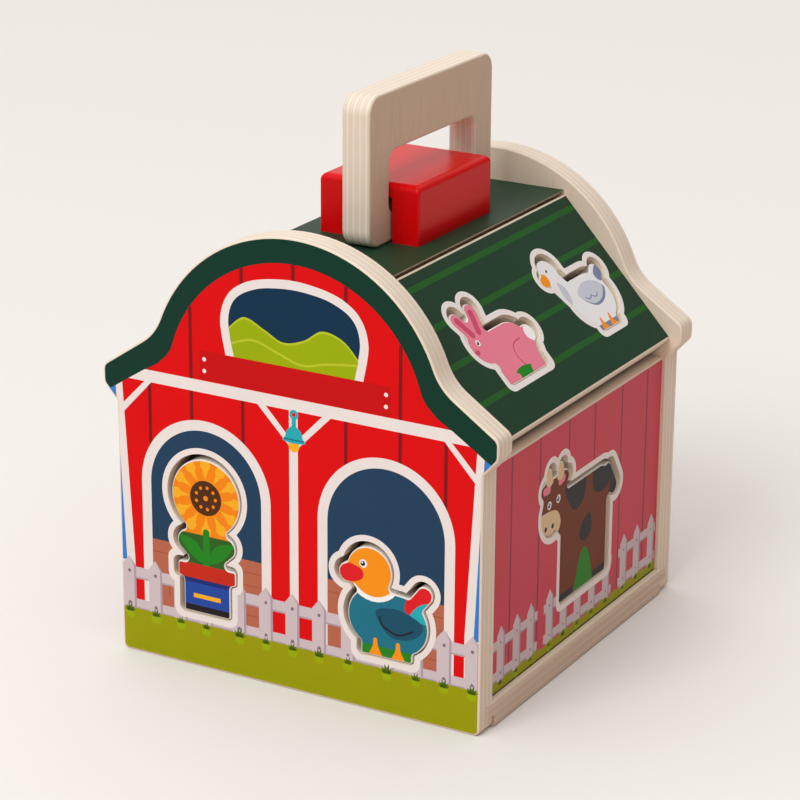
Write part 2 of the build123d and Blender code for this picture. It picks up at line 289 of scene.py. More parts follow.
def between(a, b, c, d, t):
    """A point on the smooth curve from b to c, t of the way, where a and d are the points beside them."""
    weights = (-t + 2 * t**2 - t**3, 2 - 5 * t**2 + 3 * t**3, t + 4 * t**2 - 3 * t**3, -(t**2) + t**3)
    return tuple(sum(w * p[k] for w, p in zip(weights, (a, b, c, d))) / 2 for k in (0, 1))


def blob(*points, steps=7):
    """A smooth closed curve through the points."""
    ring = points[-1:] + points + points[:2]
    return [between(*ring[i : i + 4], s / steps) for i in range(len(points)) for s in range(steps)]


def smooth(*points, steps=7):
    """A smooth open curve through the points."""
    row = points[:1] + points + points[-1:]
    curve = [between(*row[i : i + 4], s / steps) for i in range(len(points) - 1) for s in range(steps)]
    return curve + [points[-1]]


def shifted(points, by):
    return [(x + by[0], y + by[1]) for x, y in points]


def flipped(points):
    return [(-x, y) for x, y in reversed(points)]


print("a disc of radius 10 has", len(disc((0, 0), 10)), "points")

# %% [markdown]
# Each board's outer face gets its own flat coordinates: across, to the right for someone who looks
# at it from outside, and up. On a roof panel, up starts from the panel's upper edge. The roof's
# slope and place aren't typed in: the slope is the way its loose pieces lift out, and the place is
# as far as the panel reaches along and out of that slope.

# %% Faces to print on
joints = {j["name"]: j for j in frame["record"]["behaviour"]["joints"]}


def board(origin, across, up):
    across, up = Vector(across), Vector(up)
    return {"origin": Vector(origin), "across": across, "up": up, "out": across.cross(up)}


def on_board(where, u, v):
    """A point of a board's face, from its flat coordinates in mm."""
    return where["origin"] + where["across"] * u * MM + where["up"] * v * MM


front_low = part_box("front_gable")[0]
back_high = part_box("back_gable")[1]
right_low, right_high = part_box("right_wall")
left_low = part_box("left_wall")[0]
ridge_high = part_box("ridge_board")[1]


def roof_board(panel, piece_joint, side):
    out = Vector(joints[piece_joint]["axis"]).normalized()
    across = Vector((0, side, 0))
    up = out.cross(across)
    corners = [v.co for v in frame["nodes"][panel].data.vertices]
    edge = out * max(c.dot(out) for c in corners) + up * max(c.dot(up) for c in corners)
    return {"origin": edge, "across": across, "up": up, "out": out}


BOARDS = {
    "front_gable": board((0, front_low[1], 0), (1, 0, 0), (0, 0, 1)),
    "back_gable": board((0, back_high[1], 0), (-1, 0, 0), (0, 0, 1)),
    "right_wall": board((right_high[0], 0, 0), (0, 1, 0), (0, 0, 1)),
    "left_wall": board((left_low[0], 0, 0), (0, -1, 0), (0, 0, 1)),
    "right_roof": roof_board("right_roof", "rabbit_slide", 1),
    "left_roof": roof_board("left_roof", "apple_slide", -1),
    "ridge_board": board((0, 0, ridge_high[2]), (0, 1, 0), (-1, 0, 0)),
}
for name, where in BOARDS.items():
    print(name, "faces", [round(c, 3) for c in where["out"]])


def flat_loops(name, where):
    """The edges of a CAD node's outermost flat face along where's out, as closed loops in mm."""
    mesh = frame["nodes"][name].data
    out = where["out"]
    flats = [p for p in mesh.polygons if p.normal.dot(out) > 0.9995]
    top = max(mesh.vertices[p.vertices[0]].co.dot(out) for p in flats)
    edges = {}
    for polygon in flats:
        corners = [mesh.vertices[i].co for i in polygon.vertices]
        if min(c.dot(out) for c in corners) < top - 0.01 * MM:
            continue
        keys = []
        for corner in corners:
            local = corner - where["origin"]
            u, v = local.dot(where["across"]) / MM, local.dot(where["up"]) / MM
            keys.append((round(u, 3), round(v, 3)))
        for a, b in zip(keys, keys[1:] + keys[:1]):
            if (b, a) in edges:
                del edges[(b, a)]
            elif a != b:
                edges[(a, b)] = True
    onward = {}
    for a, b in edges:
        onward.setdefault(a, []).append(b)
    loops = []
    while onward:
        start = next(iter(onward))
        loop, here = [], start
        while here in onward:
            loop.append(here)
            following = onward[here].pop()
            if not onward[here]:
                del onward[here]
            here = following
        if len(loop) > 2:
            loops.append(loop)
    loops.sort(key=lambda ring: -abs(area(ring)))
    return loops, top - where["origin"].dot(out)


def holds(ring, point):
    """True where a closed ring of points goes round this point."""
    crossings = sum(
        (a[1] > point[1]) != (b[1] > point[1])
        and point[0] < (b[0] - a[0]) * (point[1] - a[1]) / (b[1] - a[1]) + a[0]
        for a, b in zip(ring, ring[1:] + ring[:1])
    )
    return crossings % 2 == 1


def area(ring):
    return sum(a[0] * b[1] - b[0] * a[1] for a, b in zip(ring, ring[1:] + ring[:1])) / 2


# %% [markdown]
# A print is many flat shapes laid over each other, like cut paper. Stacked sheets would flicker
# where they coincide, so the shapes are put through a constrained Delaunay triangulation, which
# cuts the whole face along every outline once. Each triangle then takes the ink of the last shape
# drawn that its middle lies in, and a triangle in a hole is left out. The sheet gets a tenth of a
# millimetre of thickness, as a lacquered print has.


# %% Make a printed sheet
PRINT_THICK, PRINT_SUNK = 0.1, 0.03


def printed_sheet(name, board_node, where, layers, body):
    """layers is a list of (ink name, points), the lowest first."""
    loops, height = flat_loops(board_node, where)
    rings = loops + [points for _, points in layers]
    corners, faces = [], []
    for ring in rings:
        ring = ring if area(ring) > 0 else list(reversed(ring))
        faces.append(list(range(len(corners), len(corners) + len(ring))))
        corners += [Vector(p) for p in ring]
    points, _, triangles, _, _, _ = delaunay_2d_cdt(corners, [], faces, 1, 1e-4, False)
    mesh = bpy.data.meshes.new(name)
    piece = add(name, mesh)
    inks = []
    shape = bmesh.new()
    ground = where["out"] * (height - PRINT_SUNK * MM)
    spots = [shape.verts.new(on_board(where, *p) + ground) for p in points]
    boxes = []
    for ring in rings:
        across, up = [x for x, _ in ring], [y for _, y in ring]
        boxes.append((min(across), max(across), min(up), max(up)))
    for triangle in triangles:
        u, v = (sum(points[i][k] for i in triangle) / 3 for k in (0, 1))
        over = [
            i for i, (left, right, low, high) in enumerate(boxes)
            if left < u < right and low < v < high and holds(rings[i], (u, v))
        ]
        if 0 not in over or any(0 < i < len(loops) for i in over):
            continue
        colour = layers[over[-1] - len(loops)][0]
        if colour not in inks:
            inks.append(colour)
        face = shape.faces.new([spots[i] for i in triangle])
        face.material_index = inks.index(colour)
    bmesh.ops.delete(shape, geom=[v for v in shape.verts if not v.link_faces], context="VERTS")
    shape.normal_update()
    turned_over = [f for f in shape.faces if f.normal.dot(where["out"]) < 0]
    bmesh.ops.reverse_faces(shape, faces=turned_over)
    shape.to_mesh(mesh)
    shape.free()
    for colour in inks:
        mesh.materials.append(ink(colour))
    skin = piece.modifiers.new("thickness of the print", "SOLIDIFY")
    skin.thickness = PRINT_THICK * MM
    skin.offset = 1.0
    made = bake(piece)
    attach(made, body)
    print(name, len(made.data.polygons), "faces in", len(inks), "inks")
    return made


def bake(piece):
    """Turns an object with modifiers into a plain mesh object of the same name."""
    graph = bpy.context.evaluated_depsgraph_get()
    mesh = bpy.data.meshes.new_from_object(piece.evaluated_get(graph))
    name = piece.name
    bpy.data.objects.remove(piece)
    mesh.name = name
    return add(name, mesh)


# %% [markdown]
# The loose pieces have outlines made of discs, bars and round-ended strokes, the same few numbers
# that cut them from the board. Each outline is a function of how much it is grown: by nothing for
# the piece itself, and by the saw's gap and the width of the white line for the print round it.


# %% Outlines of the loose pieces
def sunflower(grow):
    return [
        disc((0, 18.5), 17.5 + grow),
        capsule((0, 4), (0, -14), 5 + grow),
        capsule((-10, -3), (0, -12), 5 + grow),
        capsule((10, -3), (0, -12), 5 + grow),
        bar((-15, -20), (15, -13), grow),
        bar((-12, -36), (12, -18), grow),
    ]


def duck(grow):
    return [
        capsule((-5, -7), (7, -8), 13.5 + grow),
        disc((-8, 13.5), 11 + grow),
        capsule((-15, 11), (-18.5, 11), 4.5 + grow),
        capsule((10, -3), (18.5, 8), 4 + grow),
        bar((-12, -24.5), (13, -14), grow),
    ]


def rabbit(grow):
    return [
        capsule((-2, -7), (8, -7), 12.5 + grow),
        disc((-14, 1), 9.5 + grow),
        capsule((-16, 5), (-20, 15), 4 + grow),
        capsule((-11, 5), (-7, 16), 4 + grow),
        disc((21, -4), 4.5 + grow),
        bar((-15, -20), (18, -12), grow),
    ]


def goose(grow):
    return [
        capsule((-2, -5), (9, -5), 12 + grow),
        capsule((-8, -3), (-14, 13), 6 + grow),
        disc((-14, 14), 7 + grow),
        capsule((-18, 12), (-21.5, 11.5), 3.2 + grow),
        capsule((12, -2), (20.5, 5), 4 + grow),
        bar((-6, -20.5), (12, -12), grow),
    ]


def cow(grow):
    return [
        bar((-18, -33.5), (28, 6), grow),
        capsule((-12, 8), (20, 8), 11 + grow),
        capsule((-27, 12), (-25, 18), 10 + grow),
        capsule((-34, 24), (-14, 25), 3.5 + grow),
        capsule((-29, 27), (-29.5, 30.5), 3 + grow),
        capsule((-19, 27), (-18.5, 30.5), 3 + grow),
        capsule((28, 14), (34, 5), 4 + grow),
    ]


def apple(grow):
    return [
        disc((-7, -3), 15 + grow),
        disc((7, -3), 15 + grow),
        bar((-11, -21), (11, -8), grow),
        capsule((0, 9), (2, 17), 3 + grow),
        capsule((5, 16), (12, 18), 3.5 + grow),
    ]


def pear(grow):
    return [
        disc((0, -5), 17 + grow),
        capsule((0, 0), (0, 9), 9.5 + grow),
        capsule((0, 14), (2, 20), 2.8 + grow),
        bar((-9, -22), (9, -10), grow),
    ]


def tree(grow):
    return [
        disc((-13, 4), 13 + grow),
        disc((13, 4), 13 + grow),
        disc((0, 15), 15 + grow),
        bar((-6.5, -31), (6.5, 0), grow),
        bar((-11, -31), (11, -25), grow),
    ]


SAW_GAP = 1.6
WHITE_LINE = 2.7
SEAT_GAP = 0.3
HOLES = {
    "sunflower": ("front_gable", sunflower, (-45.5, 62.5)),
    "duck": ("front_gable", duck, (44.2, 51.0)),
    "rabbit": ("right_roof", rabbit, (-32.5, -41.5)),
    "goose": ("right_roof", goose, (45.0, -41.5)),
    "cow": ("right_wall", cow, (2.0, 65.4)),
    "apple": ("left_roof", apple, (-34.0, -41.5)),
    "pear": ("left_roof", pear, (34.0, -41.5)),
    "tree": ("left_wall", tree, (0.0, 65.4)),
}


def white_lines(board_name):
    """The white print round each of this board's holes."""
    return [
        ("trim white", shifted(points, centre))
        for home, outline, centre in HOLES.values() if home == board_name
        for points in outline(SAW_GAP + WHITE_LINE)
    ]


print("holes:", ", ".join(HOLES))

# %% [markdown]
# The front is a barn's end wall: red planks under a green band that follows the roof, white posts
# and beams, two arched doorways, a round-topped loft window, a small bell, and a picket fence in a
# meadow. Half of it mirrors the other half, so most shapes are written once, for the right-hand side.


# %% The gable's picture
BAND_CENTRE, BAND_RADIUS, BAND_ENDS = (0, 128.55), 63.4, (18.2, 161.8)
HOUSE_SIDE = [
    (95, 0), (95, 120.8), (90.7, 123.6), (83.5, 128.3), (75, 133.5), (68.2, 137.5), (63.5, 142), (61.4, 145),
]
PLANK_LINES, PLANK_LINE_HALF = (0, 25.3, 51.2, 72.7), 0.85
BEAM_TOP, STUD = 134.0, 0.95
DOOR_HALF, DOOR_TOP, FRAME_HALF, FRAME_TOP = 28.2, 110.8, 33, 115.5
CLAY_TOP, CLAY_JOINT, BRICK = 56, 0.5, 6
HILL_RIM = 1.0
PICKETS = (-85.7, -71.9, -58.8, -45.5, -28.3, -14.7, -1.3, 12.1, 26.4, 45.4, 59.5, 72.9, 86.3)
PICKET_HALF, PICKET_SHADE, PICKET_TIP, PICKET_SHOULDER = 3.5, 1.1, 45.3, 41.0
PICKET_FOOT, FENCE_END = 14, 92
RAILS, RAIL_SHADE = ((35.0, 40.6), (20.5, 25.3)), 0.8
GRASS_TOP, MEADOW_TOP = 21.0, 20.7


def both(ink_name, points):
    """A shape and its mirror image."""
    return [(ink_name, points), (ink_name, flipped(points))]


def picket(x, tip, shoulder, foot):
    """One picket with a shaded right edge."""
    left, right = x - PICKET_HALF, x + PICKET_HALF
    bright = right - PICKET_SHADE
    body = [(left, foot), (right, foot), (right, shoulder), (x, tip), (left, shoulder)]
    shade = [(bright, foot), (right, foot), (right, shoulder), (x, tip), (bright, shoulder)]
    return [("picket grey", body), ("picket shade", shade)]


def fence(centres, left, right, tip, shoulder, rails, foot):
    """Two rails behind a row of pickets. rails holds each rail's bottom and top height."""
    layers = []
    for bottom, top in rails:
        layers.append(("picket grey", bar((left, bottom), (right, top))))
        layers.append(("picket shade", bar((left, bottom), (right, bottom + RAIL_SHADE))))
    for x in centres:
        layers += picket(x, tip, shoulder, foot)
    return layers


def arch(x, half, top):
    """A round-topped opening that stands in the grass."""
    return [(x - half, GRASS_TOP), (x + half, GRASS_TOP)] + turned((x, top - half), half, 0, 180)


def doorway(x):
    """A white arch with a dark doorway in it and a clay brick floor below."""
    layers = [("trim white", arch(x, FRAME_HALF, FRAME_TOP)), ("door navy", arch(x, DOOR_HALF, DOOR_TOP))]
    layers.append(("clay", bar((x - DOOR_HALF, GRASS_TOP), (x + DOOR_HALF, CLAY_TOP))))
    for y, start in ((50, -DOOR_HALF), (44, -20), (37, -DOOR_HALF), (30, -12)):
        layers.append(("clay line", bar((x + start, y), (x + DOOR_HALF, y + CLAY_JOINT))))
    for y, at in ((50.5, 4), (44.5, -14), (44.5, 18), (37.5, 2), (30.5, -20), (30.5, 14)):
        layers.append(("clay line", bar((x + at, y), (x + at + CLAY_JOINT, y + BRICK))))
    return layers


def loft_window():
    """A white frame round hills under a night sky. The frame's curves are written for the right half."""
    outer = (
        (32.4, 138), (33.6, 147), (35.4, 156), (36, 163), (34.4, 170), (31, 175.5), (26.1, 179.3),
        (20.1, 182), (11.3, 184), (0, 185),
    )
    inner = (
        (27.8, 138), (29.2, 147), (31.1, 155.5), (32, 163), (30.3, 170), (26.1, 174.8), (18.9, 178.3),
        (11.3, 180.1), (0, 181),
    )
    outer, inner = (smooth(*half, *flipped(half[:-1])) for half in (outer, inner))
    sill = [(-29.2, 147), (-28.6, 143), (28.6, 143), (29.2, 147)]
    far_hills = [(-31.1, 155.5)] + sill + [(31.1, 155.5)] + smooth(
        (31.2, 156), (24, 163), (14, 165.5), (5, 160), (-5, 157.5), (-14, 161.5), (-24, 165.5), (-31.7, 160)
    )
    near_hills = sill + smooth((30.6, 154), (16, 152), (4, 149.5), (-8, 153), (-20, 156.5), (-30.6, 153.5))
    layers = [("trim white", outer), ("attic navy", inner)]
    for hills in (far_hills, near_hills):
        layers += [("hill shade", hills), ("hill lime", shifted(hills, (0, -HILL_RIM)))]
    return layers


def bell():
    """It hangs from a ring where the two inner braces meet."""
    flare = ((-5.6, 114.6), (-4.4, 116.4), (-3.2, 119.6))
    body = blob(*flare, (0, 121.6), *flipped(flare), (0, 113.8))
    return [
        ("feather aqua", disc((0, 126.6), 2.2)),
        ("barn red", disc((0, 126.6), 0.9)),
        ("feather aqua", bar((-1.1, 120), (1.1, 124.8))),
        ("sun yellow", disc((0, 112.6), 2.7)),
        ("feather aqua", body),
        ("duck teal", bar((-4.9, 115.0), (4.9, 115.7))),
    ]


def gable_layers(board_name):
    house = HOUSE_SIDE + turned(BAND_CENTRE, BAND_RADIUS, *BAND_ENDS) + flipped(HOUSE_SIDE)
    layers = [("gable green", bar((-100, -5), (100, 210))), ("barn red", house)]
    for x in PLANK_LINES:
        low, high = x - PLANK_LINE_HALF, x + PLANK_LINE_HALF
        reach = BAND_CENTRE[1] + sqrt(max(0, BAND_RADIUS**2 - x**2)) if x < 60 else BEAM_TOP
        layers += both("plank line red", [(low, GRASS_TOP), (high, GRASS_TOP), (high, reach), (low, reach)])
    layers += both("sky blue", [(86.6, 43), (96, 43), (96, 120.8), (90.5, 123.6)])
    for x in (-44.8, 44.5):
        layers += doorway(x)
    post = [(82.4, 15), (96, 15), (96, 43.1), (86.7, 43.1), (90.4, 123.7), (87.0, 126.0), (82.4, 44)]
    outer_brace = [(75, 128.6), (71.5, 128.6), (86.6, 112.4), (86.8, 116.4)]
    inner_brace = [(18.8, 129), (14.6, 129), (1.5, 115.4), (1.5, 111.5)]
    beam = [(-83.5, 128.25), (83.5, 128.25), (75, 133.7), (-75, 133.7)]
    layers += both("trim white", post)
    layers.append(("trim white", bar((-2.4, 15), (1.9, 129))))
    layers += both("trim white", outer_brace) + both("trim white", inner_brace)
    layers.append(("trim white", beam))
    layers += loft_window()
    layers.append(("beam red", bar((-46.7, 134.1), (46.7, 147.1))))
    layers += [("trim white", disc((x, y), STUD)) for x in (-44.4, 44.4) for y in (138.2, 143.4)]
    layers += bell()
    layers += fence(PICKETS, -FENCE_END, FENCE_END, PICKET_TIP, PICKET_SHOULDER, RAILS, PICKET_FOOT)
    layers.append(("meadow", bar((-100, -5), (100, MEADOW_TOP))))
    return layers + white_lines(board_name)


for name, sheet in (("front_gable", "front_print"), ("back_gable", "back_print")):
    printed_sheet(sheet, name, BOARDS[name], gable_layers(name), "barn")

# %% [markdown]
# The side walls carry the same planks, fence and meadow at their own, smaller scale, over a dark
# strip of painted contact shadow at their foot. The roof panels have four lighter stripes along them. The
# ridge board is plain green.


# %% The walls' and the roof's pictures
WALL_LINES, WALL_LINE_HALF = (-64.3, -38.5, -11.3, 13.8, 41, 67.1), 0.6
WALL_PICKETS = (-71.6, -57.1, -44.2, -26.4, -12.8, 1.0, 15.2, 29.4, 47.5, 61.3, 76.4)
WALL_FENCES, WALL_FOOT = ((-81, -38), (-32, 35), (42, 81)), 12
WALL_RAILS, WALL_TIP, WALL_SHOULDER = ((31.6, 36.2), (17.4, 22.0)), 42, 37.8
# The top of the painted contact shadow at the foot of the side walls
WALL_MEADOW, WALL_SHADOW_TOP = 16.4, right_low[2] / MM + 0.8
ROOF_STRIPES, STRIPE_HALF = (7.4, 26, 44, 63.3), 1.4


def wall_layers(board_name):
    # The wall's red and its plank lines are muted with painted sheen
    layers = [("wall red", bar((-90, 5), (90, 125)))]
    for x in WALL_LINES:
        layers.append(("wall line", bar((x - WALL_LINE_HALF, 12), (x + WALL_LINE_HALF, 120))))
    for left, right in WALL_FENCES:
        inside = [x for x in WALL_PICKETS if left < x < right]
        layers += fence(inside, left, right, WALL_TIP, WALL_SHOULDER, WALL_RAILS, WALL_FOOT)
    layers.append(("meadow", bar((-90, 5), (90, WALL_MEADOW))))
    for x in range(-78, 79, 13):
        mound = blob((x - 6.8, 15), (x + 6.8, 15), (x + 4, 16.9), (x, 17.3), (x - 4, 16.8))
        layers.append(("meadow", mound))
    # A dark strip of painted contact shadow where the wall meets the floor board
    layers.append(("seam brown", bar((-90, 5), (90, WALL_SHADOW_TOP))))
    return layers + white_lines(board_name)


def roof_layers(board_name):
    layers = [("roof green", bar((-90, -90), (90, 5)))]
    for down in ROOF_STRIPES:
        layers.append(("stripe green", bar((-90, -down - STRIPE_HALF), (90, -down + STRIPE_HALF))))
    return layers + white_lines(board_name)


for name in ("right_wall", "left_wall"):
    printed_sheet(name + "_print", name, BOARDS[name], wall_layers(name), "barn")
for name in ("right_roof", "left_roof"):
    printed_sheet(name + "_print", name, BOARDS[name], roof_layers(name), name)
ridge_layers = [("roof green", bar((-90, -50), (90, 50)))]
printed_sheet("ridge_print", "ridge_board", BOARDS["ridge_board"], ridge_layers, "barn")

# %% [markdown]
# The loose pieces have pictures of their own: farm animals and garden things in flat colour, drawn
# over the piece's whole face, so that they run off its edges as a cut print does.


# %% The loose pieces' pictures
def eye(at, size):
    return [
        ("eye white", disc(at, size)),
        ("ink black", disc((at[0] - 0.2, at[1]), size * 0.62)),
        ("eye white", disc((at[0] - 0.5, at[1] + 0.4), size * 0.24)),
    ]


def many(name, shapes):
    return [(name, points) for points in shapes]


def sunflower_picture():
    middle = 18.5
    layers = [("sun orange", bar((-20, -40), (20, 40)))]
    for ring, (count, reach, tone) in enumerate(((12, 15.5, "sun yellow"), (12, 12.5, "sun orange"))):
        for i in range(count):
            a = tau * (i + ring / 2) / count
            tip = (reach * cos(a), middle + reach * sin(a))
            layers.append((tone, capsule((6 * cos(a), middle + 6 * sin(a)), tip, 2.5 - ring * 0.4)))
    layers.append(("seed brown", disc((0, middle), 8)))
    for i in range(9):
        a = tau * i / 9
        layers.append(("sun orange", disc((5 * cos(a), middle + 5 * sin(a)), 0.8)))
    return layers + [
        ("sun orange", disc((0, middle), 1.2)),
        ("dark leaf", bar((-20, -13), (20, 1))),
        ("leaf green", blob((0, -12), (-8, -9), (-14, -1), (-5, -3))),
        ("leaf green", blob((0, -12), (5, -3), (14, -1), (8, -9))),
        *many("leaf green", stroke(3.4, (0, 2.5), (0, -13))),
        ("pot red", bar((-20, -20), (20, -13))),
        ("pot blue", bar((-20, -40), (20, -20))),
        ("pot shade", bar((-20, -22), (20, -20))),
        ("sun yellow", bar((-7, -29), (7, -27))),
        ("ink black", bar((-20, -40), (20, -32.5))),
    ]


duck_head = ((-22, 20), (-14, 28), (0, 27), (6, 16), (4.6, 6), (-1, 1.6), (-9, 1.2), (-16, 5.5), (-20, 10))
duck_foot = ((-3.2, -25.5), (3.6, -25.5), (1.4, -20), (0.8, -16.5), (-0.8, -16.5), (-1.2, -20))
goose_wing = blob((-4, -2), (4, 2), (13, 1), (18, -3), (12, -8), (3, -8.5))
goose_foot = ((-2.4, -20.4), (3, -20.4), (0.9, -17.5), (0.6, -14.5), (-0.6, -14.5))
crown_shade = ((-24, -4), (-12, -7), (0, -2), (12, -7), (24, -4), (14, 0), (0, 5), (-14, 0))
apples = ((-14, 8), (-3, 18), (10, 11), (16, 2), (2, 6), (-7, -1), (8, 24))
PICTURES = {
    "sunflower": sunflower_picture(),
    "duck": [
        ("duck teal", bar((-26, -30), (26, 30))),
        ("duck orange", blob(*duck_head)),
        ("duck red", blob((-26, 15.5), (-12.5, 14.2), (-12.5, 8.6), (-26, 6.2))),
        *many("eye white", stroke(2.2, *turned((-6, 14), 12.7, 222, 324, 2.5))),
        ("duck red", blob((9, 0), (13, 10), (20, 14), (25, 10), (24, 4), (15, -2))),
        ("feather aqua", blob((12, -3), (16, 3), (23, 5), (26, 0), (22, -5))),
        ("duck dark", blob((-5, -4), (6, -1), (18, -6), (13, -13), (2, -14))),
        *many("ink black", stroke(0.8, *smooth((-3, -6), (-1, -10), (6, -12.6), (13, -9.5)))),
        ("leaf green", bar((-26, -30), (26, -19.6))),
        ("duck orange", shifted(blob(*duck_foot), (-5, 0))),
        ("duck orange", shifted(blob(*duck_foot), (6, 0))),
        *eye((-11, 16.5), 1.9),
    ],
    "rabbit": [
        ("rabbit pink", bar((-30, -25), (30, 25))),
        ("rabbit dark", capsule((-16.2, 7), (-19.6, 15), 1.7)),
        ("rabbit dark", capsule((-10.8, 7), (-7.3, 15.5), 1.7)),
        ("eye white", disc((22, -4), 4)),
        *many("rabbit dark", stroke(0.7, *smooth((4, -15), (2.6, -10), (5.5, -5), (12, -4)))),
        ("leaf green", blob((-12, -26), (16, -26), (13, -19), (6, -15.5), (-2, -15), (-8, -18))),
        ("rabbit pink", capsule((-12.5, -18.6), (-6.5, -18.6), 2.6)),
        ("rabbit pink", capsule((9, -18.6), (15, -18.6), 2.6)),
        ("rabbit dark", blob((-22.5, -0.4), (-20.2, 0.6), (-19.2, -1), (-20.8, -2.2))),
        *eye((-16.4, 2.8), 1.5),
    ],
    "goose": [
        ("goose white", bar((-30, -25), (30, 25))),
        ("goose grey", goose_wing),
        ("goose shade", shifted(goose_wing, (-0.8, 1.3))),
        *many("goose grey", stroke(0.6, *turned((2, -1.4), 3.2, 215, 325, 1.5))),
        *many("goose grey", stroke(0.6, *turned((7.5, -1.8), 3.2, 215, 325, 1.5))),
        ("goose grey", blob((17, 4.5), (25, 8.5), (26, 3), (19, 0))),
        ("duck orange", blob((-26, 15.2), (-18.2, 14.6), (-18.4, 9.6), (-26, 7.6))),
        ("goose shade", blob((-12, -2), (-10, 4), (-13, 9), (-15, 4), (-15, -3))),
        ("goose grey", bar((-30, -25), (30, -17.2))),
        ("duck orange", shifted(blob(*goose_foot), (-1, 0))),
        ("duck orange", shifted(blob(*goose_foot), (7, 0))),
        *eye((-14.8, 15.6), 1.4),
    ],
    "cow": [
        ("cow brown", bar((-42, -38), (42, 38))),
        ("cow dark", blob((-14, 20), (-4, 22), (6, 20), (5, 10), (-3, 6), (-10, 11))),
        ("cow dark", blob((14, 21), (26, 21), (33, 12), (24, 6), (14, 10))),
        ("cow dark", blob((32, 12), (40, 10), (40, 0), (31, 1))),
        ("cow dark", blob((4, -2), (11, 0), (13, -8), (7, -12), (1, -8))),
        ("cow cream", blob((-40, 12), (-34, 14), (-22, 12), (-18, 5), (-24, -1), (-34, -1), (-40, 4))),
        ("cow dark", disc((-32, 6.4), 1.2)),
        ("cow dark", disc((-25.5, 6.0), 1.2)),
        ("rabbit pink", capsule((-33.5, 24.2), (-30, 23.8), 1.8)),
        ("rabbit pink", capsule((-16, 25), (-19, 24.4), 1.8)),
        ("cow cream", capsule((-29, 28.6), (-29.6, 34), 3.6)),
        ("cow cream", capsule((-19, 28.6), (-18.4, 34), 3.6)),
        ("leaf green", blob((-3, -38), (0, -22), (6, -14.5), (12, -22), (14, -38))),
        ("cow dark", bar((-42, -38), (-4, -29.5))),
        ("cow dark", bar((15, -38), (42, -29.5))),
        *eye((-29, 16.5), 1.9),
        *eye((-20.5, 16.9), 1.9),
    ],
    "apple": [
        ("apple red", bar((-30, -30), (30, 30))),
        ("apple light", blob((-16, 2), (-12, 7), (-8, 5), (-12, -3), (-16, -5))),
        ("bark brown", bar((-4, 9.5), (3.4, 30))),
        ("leaf green", blob((3.4, 13), (8, 22.5), (17, 22), (14, 14))),
    ],
    "pear": [
        ("pear green", bar((-30, -30), (30, 30))),
        ("pear light", blob((-11, -3), (-7, 4), (-4, 2), (-7, -8), (-11, -9))),
        ("bark brown", bar((-6, 16.6), (8, 30))),
    ],
    "tree": [
        ("leaf green", bar((-30, -40), (30, 40))),
        ("dark leaf", blob(*crown_shade)),
        ("bark brown", bar((-12, -40), (12, -7.4))),
        ("meadow", bar((-12, -40), (12, -26.6))),
        *many("apple red", [disc(at, 2.2) for at in apples]),
    ],
}
for name, (home, _, (u, v)) in HOLES.items():
    place = (u, v - (SAW_GAP - SEAT_GAP))
    layers = [(tone, shifted(points, place)) for tone, points in PICTURES[name]]
    printed_sheet(name + "_print", name + "_piece", BOARDS[home], layers, name)

# %% [markdown]
# A tuft of grass stands at the foot of each picket, dark blades over a lit patch, and each picket
# has two nail heads. These are three small shapes repeated, so a Geometry Nodes tree sets a shape on
# points with a size picked at random from a fixed seed, makes the copies real and inks them.


# %% A tree that sets a shape on points
def scatter_tree():
    tree = bpy.data.node_groups.new("set a shape on points", "GeometryNodeTree")
    inputs = (
        ("Geometry", "Geometry"), ("Shape", "Object"), ("Smallest", "Float"), ("Largest", "Float"),
        ("Seed", "Int"), ("Ink", "Material"),
    )
    for name, kind in inputs:
        tree.interface.new_socket(name, in_out="INPUT", socket_type="NodeSocket" + kind)
    tree.interface.new_socket("Geometry", in_out="OUTPUT", socket_type="NodeSocketGeometry")
    given = node(tree, "NodeGroupInput").outputs
    shape = node(tree, "GeometryNodeObjectInfo", {"Object": given["Shape"]})
    size = node(tree, "FunctionNodeRandomValue", {
        2: given["Smallest"], 3: given["Largest"], "Seed": given["Seed"],
    }, data_type="FLOAT")
    copies = node(tree, "GeometryNodeInstanceOnPoints", {
        "Points": given["Geometry"], "Instance": shape.outputs["Geometry"], "Scale": size.outputs[1],
    })
    solid = node(tree, "GeometryNodeRealizeInstances", {0: copies.outputs[0]})
    inked = node(tree, "GeometryNodeSetMaterial", {"Geometry": solid.outputs[0], "Material": given["Ink"]})
    node(tree, "NodeGroupOutput", {"Geometry": inked.outputs[0]})
    return tree


SCATTER = scatter_tree()


def flat_shape(name, where, outlines, low, high):
    """A small solid from outlines in mm, from height low to height high above a board's plane."""
    mesh = bpy.data.meshes.new(name)
    shape = bmesh.new()
    for ring in outlines:
        ring = ring if area(ring) > 0 else list(reversed(ring))
        levels = []
        for height in (low, high):
            levels.append([
                shape.verts.new(where["across"] * x * MM + where["up"] * y * MM + where["out"] * height * MM)
                for x, y in ring
            ])
        shape.faces.new(levels[1])
        shape.faces.new(list(reversed(levels[0])))
        for i in range(len(ring)):
            j = (i + 1) % len(ring)
            shape.faces.new([levels[0][i], levels[0][j], levels[1][j], levels[1][i]])
    shape.to_mesh(mesh)
    shape.free()
    return add(name, mesh)


def scatter(name, shape, points, smallest, largest, seed, ink_name, body):
    mesh = bpy.data.meshes.new(name)
    mesh.from_pydata(points, [], [])
    piece = add(name, mesh)
    modifier = piece.modifiers.new("copies", "NODES")
    modifier.node_group = SCATTER
    values = {"Shape": shape, "Smallest": smallest, "Largest": largest, "Seed": seed, "Ink": ink(ink_name)}
    for item in SCATTER.interface.items_tree:
        if item.in_out == "INPUT" and item.name in values:
            modifier[item.identifier] = values[item.name]
    made = bake(piece)
    bpy.data.objects.remove(shape)
    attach(made, body)
    print(name, len(points), "copies,", len(made.data.polygons), "faces")
    return made


